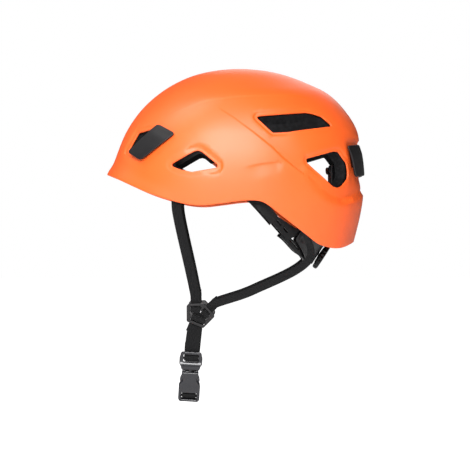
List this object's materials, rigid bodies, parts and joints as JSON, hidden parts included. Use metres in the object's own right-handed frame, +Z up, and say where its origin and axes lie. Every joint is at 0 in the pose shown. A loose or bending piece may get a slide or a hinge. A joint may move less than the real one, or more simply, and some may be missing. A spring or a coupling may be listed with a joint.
{
  "type": "climbing helmet",
  "caption": "Hard-shell climbing helmet with foam liner, vents, headlamp clips, dial-adjusted headband and a chin strap with side-release buckle.",
  "frame": {"origin": "On the mid-plane, inside the head opening at the height of the headband, where the helmet rests round the head", "axes": "+Z up through the crown, -Y towards the front, +X towards the wearer's left side"},
  "size_m": [0.217, 0.2789, 0.3603],
  "materials": {
    "shell": "satin orange moulded shell",
    "foam": "black expanded bead foam",
    "grey_plastic": "fine-grained dark grey",
    "black_plastic": "satin black",
    "webbing": "woven black polyester",
    "pad_fabric": "knitted black lining over foam",
    "screw_steel": "plain"
  },
  "bodies": {
    "helmet": {"outer_shell": "shell", "foam_liner": "foam", "front_headband": "black_plastic", "cradle_base": "black_plastic", "cradle_cover": "grey_plastic", "detent_ring": "black_plastic", "left_cradle_hanger": "grey_plastic", "right_cradle_hanger": "grey_plastic", "left_hanger_peg": "black_plastic", "right_hanger_peg": "black_plastic", "brow_pad": "pad_fabric", "nape_pad": "pad_fabric", "front_crown_pad": "pad_fabric", "rear_crown_pad": "pad_fabric", "left_crown_pad": "pad_fabric", "right_crown_pad": "pad_fabric", "left_front_strap_anchor": "black_plastic", "right_front_strap_anchor": "black_plastic", "left_rear_strap_anchor": "black_plastic", "right_rear_strap_anchor": "black_plastic", "left_strap_divider": "black_plastic", "right_strap_divider": "black_plastic", "left_front_strap": "webbing", "right_front_strap": "webbing", "left_rear_strap": "webbing", "right_rear_strap": "webbing", "left_chin_strap": "webbing", "right_chin_strap": "webbing", "buckle_male": "black_plastic"},
    "dial": {"dial_knob": "black_plastic", "drive_pinion": "grey_plastic", "dial_screw": "screw_steel"},
    "left_rack": {"left_rack_arm": "black_plastic"},
    "right_rack": {"right_rack_arm": "black_plastic"},
    "left_front_clip": {"left_front_headlamp_clip": "grey_plastic"},
    "right_front_clip": {"right_front_headlamp_clip": "grey_plastic"},
    "left_rear_clip": {"left_rear_headlamp_clip": "grey_plastic"},
    "right_rear_clip": {"right_rear_headlamp_clip": "grey_plastic"},
    "front_prong": {"front_buckle_prong": "black_plastic"},
    "rear_prong": {"rear_buckle_prong": "black_plastic"},
    "female": {"buckle_female": "black_plastic"}
  },
  "joints": [
    {"name": "dial_turn", "type": "hinge", "parent": "helmet", "child": "dial", "pos_m": [0, 0.0148, -0.0242], "axis": [0, -0.8387, 0.5446], "range_deg": [0, 280]},
    {"name": "left_rack_slide", "type": "hinge", "parent": "helmet", "child": "left_rack", "pos_m": [0, 0.0148, -0.0242], "axis": [0, 0.5446, 0.8387], "range_deg": [0, 14]},
    {"name": "right_rack_slide", "type": "hinge", "parent": "helmet", "child": "right_rack", "pos_m": [0, 0.0148, -0.0242], "axis": [0, 0.5446, 0.8387], "range_deg": [-14, 0]},
    {"name": "left_front_clip_lift", "type": "hinge", "parent": "helmet", "child": "left_front_clip", "pos_m": [0.08368, -0.0809, 0.06398], "axis": [-0.6373, -0.6384, 0.4316], "range_deg": [0, 15], "stiffness_Nm_per_rad": 0.3},
    {"name": "right_front_clip_lift", "type": "hinge", "parent": "helmet", "child": "right_front_clip", "pos_m": [-0.08368, -0.0809, 0.06398], "axis": [-0.6373, 0.6384, -0.4316], "range_deg": [0, 15], "stiffness_Nm_per_rad": 0.3},
    {"name": "left_rear_clip_lift", "type": "hinge", "parent": "helmet", "child": "left_rear_clip", "pos_m": [0.0347, 0.12641, 0.04928], "axis": [0.9565, -0.2862, -0.0557], "range_deg": [0, 15], "stiffness_Nm_per_rad": 0.3},
    {"name": "right_rear_clip_lift", "type": "hinge", "parent": "helmet", "child": "right_rear_clip", "pos_m": [-0.0347, 0.12641, 0.04928], "axis": [0.9565, 0.2862, 0.0557], "range_deg": [0, 15], "stiffness_Nm_per_rad": 0.3},
    {"name": "buckle_release", "type": "slide", "parent": "helmet", "child": "female", "axis": [-0.2609, -0.0602, -0.9635], "range_m": [0, 0.028], "deforming": ["right_chin_strap"]},
    {"name": "front_prong_squeeze", "type": "hinge", "parent": "helmet", "child": "front_prong", "pos_m": [0.05578, -0.06002, -0.19326], "axis": [0.9652, 0, -0.2614], "range_deg": [0, 6], "stiffness_Nm_per_rad": 0.05},
    {"name": "rear_prong_squeeze", "type": "hinge", "parent": "helmet", "child": "rear_prong", "pos_m": [0.05557, -0.04644, -0.19405], "axis": [-0.9652, 0, 0.2614], "range_deg": [0, 6], "stiffness_Nm_per_rad": 0.05}
  ],
  "couplings": [
    {"joint": "left_rack_slide", "follows": "dial_turn", "ratio": 0.049505},
    {"joint": "right_rack_slide", "follows": "dial_turn", "ratio": -0.049505}
  ]
}
